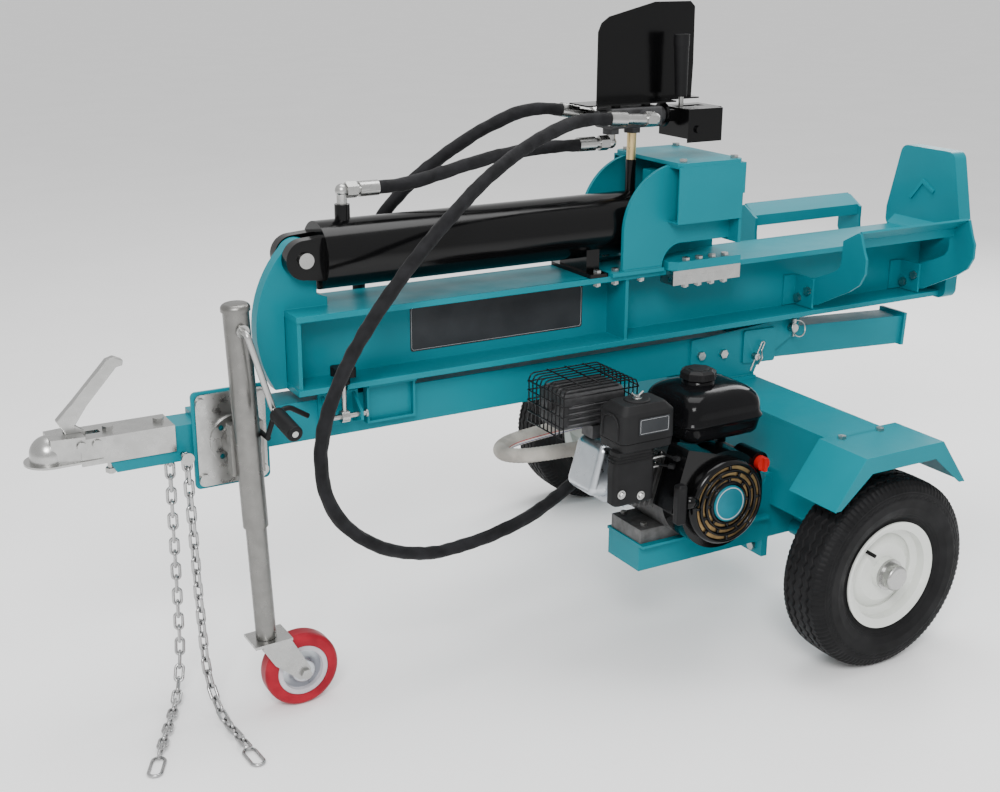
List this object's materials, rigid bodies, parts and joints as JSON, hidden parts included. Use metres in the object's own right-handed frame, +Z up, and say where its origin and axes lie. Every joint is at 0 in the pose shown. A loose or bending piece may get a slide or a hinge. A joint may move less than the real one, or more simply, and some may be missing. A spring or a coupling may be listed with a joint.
{
  "type": "towable petrol log splitter",
  "caption": "Tow-behind petrol-hydraulic log splitter with a tilting beam, sliding wedge, oil-tank axle, tongue jack and ball coupler",
  "frame": {"origin": "on the floor under the middle of the machine's length, on its centre plane", "axes": "+X along the beam from the tow coupler to the end plate, +Y away from the engine side, +Z up"},
  "size_m": [2.219, 1.212, 1.3211],
  "materials": {
    "teal": "satin",
    "black_paint": "satin",
    "white_paint": "gloss",
    "zinc": "satin",
    "chrome": "polished",
    "cast": "matte",
    "iron": "matte",
    "tyre_rubber": "matte",
    "hose_rubber": "matte",
    "suction_rubber": "matte",
    "black_plastic": "matte",
    "gloss_black": "gloss",
    "red_plastic": "gloss",
    "red_tread": "satin"
  },
  "bodies": {
    "chassis": {"drawbar": "teal", "pivot_plates": "teal", "stop_pin": "zinc", "jack_mount": "zinc", "hydraulic_tank": "teal", "fenders": "teal", "engine_mount": "teal", "chassis_fasteners": "zinc", "coupler_housing": "zinc", "safety_chains": "zinc", "engine_block": "cast", "fan_cover": "black_paint", "recoil_cover": "black_paint", "fuel_tank": "gloss_black", "air_cleaner": "black_plastic", "muffler": "iron", "hydraulic_pump": "cast", "suction_hose": "suction_rubber"},
    "wheel_near": {"tyre_near": "tyre_rubber", "rim_near": "white_paint"},
    "wheel_far": {"tyre_far": "tyre_rubber", "rim_far": "white_paint"},
    "tank_cap": {"tank_cap": "black_plastic"},
    "latch_bolt": {"latch_eyebolt": "zinc"},
    "latch_knob": {"latch_knob": "black_plastic"},
    "beam": {"beam": "teal", "end_plate": "teal", "cylinder_barrel": "black_paint", "beam_pins": "zinc", "stripper": "teal", "log_cradles": "teal", "rear_arm": "teal", "valve_body": "iron", "valve_fittings": "zinc", "valve_bracket": "black_paint", "beam_fasteners": "zinc", "cylinder_hose": "hose_rubber", "pressure_hose": "hose_rubber", "return_hose": "hose_rubber"},
    "ram": {"piston_rod": "chrome", "wedge": "teal", "wedge_guides": "zinc"},
    "spool": {"valve_spool": "zinc"},
    "lever": {"control_lever": "black_plastic"},
    "coupler_lever": {"coupler_lever": "zinc"},
    "coupler_clamp": {"coupler_clamp": "zinc"},
    "jack": {"jack_outer": "zinc"},
    "jack_crank": {"jack_crank": "zinc"},
    "jack_leg": {"jack_inner": "zinc"},
    "jack_screw": {"jack_screw": "zinc"},
    "caster": {"caster_fork": "zinc"},
    "caster_wheel": {"caster_wheel": "red_tread"},
    "jack_plunger": {"jack_plunger": "black_plastic"},
    "crankshaft": {"crankshaft": "iron"},
    "recoil_pulley": {"recoil_pulley": "black_plastic"},
    "pull_handle": {"pull_handle": "black_plastic"},
    "fuel_cap": {"fuel_cap": "black_plastic"},
    "throttle": {"throttle_lever": "black_plastic"},
    "choke": {"choke_lever": "black_plastic"},
    "switch": {"engine_switch": "red_plastic"}
  },
  "joints": [
    {"name": "wheel_near_spin", "type": "hinge", "parent": "chassis", "child": "wheel_near", "pos_m": [0.4645, -0.534, 0.207], "axis": [0, 1, 0], "continuous": true},
    {"name": "wheel_far_spin", "type": "hinge", "parent": "chassis", "child": "wheel_far", "pos_m": [0.4645, 0.534, 0.207], "axis": [0, 1, 0], "continuous": true},
    {"name": "beam_tilt", "type": "hinge", "parent": "chassis", "child": "beam", "pos_m": [0.6305, 0, 0.585], "axis": [0, 1, 0], "range_deg": [0, 90], "deforming": ["pressure_hose", "return_hose"]},
    {"name": "ram_stroke", "type": "slide", "parent": "beam", "child": "ram", "axis": [1, 0, 0], "range_m": [0, 0.6]},
    {"name": "lever_swing", "type": "hinge", "parent": "beam", "child": "lever", "pos_m": [0.3185, 0, 1.063], "axis": [0, 1, 0], "range_deg": [-12, 12], "stiffness_Nm_per_rad": 3},
    {"name": "spool_slide", "type": "slide", "parent": "beam", "child": "spool", "axis": [1, 0, 0], "range_m": [-0.0065, 0.0065]},
    {"name": "tank_cap_turn", "type": "hinge", "parent": "chassis", "child": "tank_cap", "pos_m": [0.4845, 0.33, 0.505], "axis": [0, 0, 1], "range_deg": [0, 360]},
    {"name": "latch_swing", "type": "hinge", "parent": "chassis", "child": "latch_bolt", "pos_m": [-0.5175, -0.074, 0.562], "axis": [1, 0, 0], "range_deg": [0, 75]},
    {"name": "latch_knob_turn", "type": "hinge", "parent": "latch_bolt", "child": "latch_knob", "pos_m": [-0.5175, -0.074, 0.645], "axis": [0, 0, 1], "continuous": true},
    {"name": "coupler_lever_swing", "type": "hinge", "parent": "chassis", "child": "coupler_lever", "pos_m": [-1.0135, 0, 0.575], "axis": [0, 1, 0], "range_deg": [0, 40]},
    {"name": "coupler_clamp_slide", "type": "slide", "parent": "chassis", "child": "coupler_clamp", "axis": [0, 0, -1], "range_m": [0, 0.004]},
    {"name": "jack_swivel", "type": "hinge", "parent": "chassis", "child": "jack", "pos_m": [-0.7315, -0.076, 0.545], "axis": [0, 1, 0], "range_deg": [-90, 0]},
    {"name": "jack_leg_slide", "type": "slide", "parent": "jack", "child": "jack_leg", "axis": [-0.0401, 0, 0.9992], "range_m": [0, 0.23]},
    {"name": "jack_crank_turn", "type": "hinge", "parent": "jack", "child": "jack_crank", "pos_m": [-0.74022, -0.15, 0.78003], "axis": [0, 1, 0], "range_deg": [0, 6800]},
    {"name": "jack_screw_turn", "type": "hinge", "parent": "jack", "child": "jack_screw", "pos_m": [-0.73347, -0.12, 0.61216], "axis": [-0.0401, 0, 0.9992], "range_deg": [0, 13600]},
    {"name": "caster_swivel", "type": "hinge", "parent": "jack_leg", "child": "caster", "pos_m": [-0.71521, -0.12, 0.15753], "axis": [-0.0401, 0, 0.9992], "range_deg": [-120, 120]},
    {"name": "caster_roll", "type": "hinge", "parent": "caster", "child": "caster_wheel", "pos_m": [-0.64989, -0.12, 0.076], "axis": [0, 1, 0], "continuous": true},
    {"name": "plunger_push", "type": "slide", "parent": "jack", "child": "jack_plunger", "axis": [0, 1, 0], "range_m": [0, 0.014]},
    {"name": "crankshaft_spin", "type": "hinge", "parent": "chassis", "child": "crankshaft", "pos_m": [0.1645, -0.26, 0.368], "axis": [0, 1, 0], "continuous": true},
    {"name": "starter_pull", "type": "slide", "parent": "chassis", "child": "pull_handle", "axis": [-1, 0, 0], "range_m": [0, 0.5]},
    {"name": "recoil_pulley_turn", "type": "hinge", "parent": "chassis", "child": "recoil_pulley", "pos_m": [0.1645, -0.412, 0.368], "axis": [0, 1, 0], "range_deg": [0, 690]},
    {"name": "fuel_cap_turn", "type": "hinge", "parent": "chassis", "child": "fuel_cap", "pos_m": [0.1665, -0.298, 0.61], "axis": [0, 0, 1], "range_deg": [0, 180]},
    {"name": "throttle_swing", "type": "hinge", "parent": "chassis", "child": "throttle", "pos_m": [0.0405, -0.354, 0.476], "axis": [0, 0, 1], "range_deg": [-12, 22]},
    {"name": "choke_swing", "type": "hinge", "parent": "chassis", "child": "choke", "pos_m": [0.0285, -0.35, 0.455], "axis": [0, 0, 1], "range_deg": [-10, 20]},
    {"name": "switch_turn", "type": "hinge", "parent": "chassis", "child": "switch", "pos_m": [0.2565, -0.405, 0.432], "axis": [0, 1, 0], "range_deg": [0, 50]}
  ],
  "couplings": [
    {"joint": "spool_slide", "follows": "lever_swing", "m_per_rad": 0.028},
    {"joint": "coupler_clamp_slide", "follows": "coupler_lever_swing", "m_per_rad": 0.0055},
    {"joint": "jack_crank_turn", "follows": "jack_leg_slide", "rad_per_m": 509.05},
    {"joint": "jack_screw_turn", "follows": "jack_leg_slide", "rad_per_m": 1018.1},
    {"joint": "recoil_pulley_turn", "follows": "starter_pull", "rad_per_m": 23.736}
  ]
}
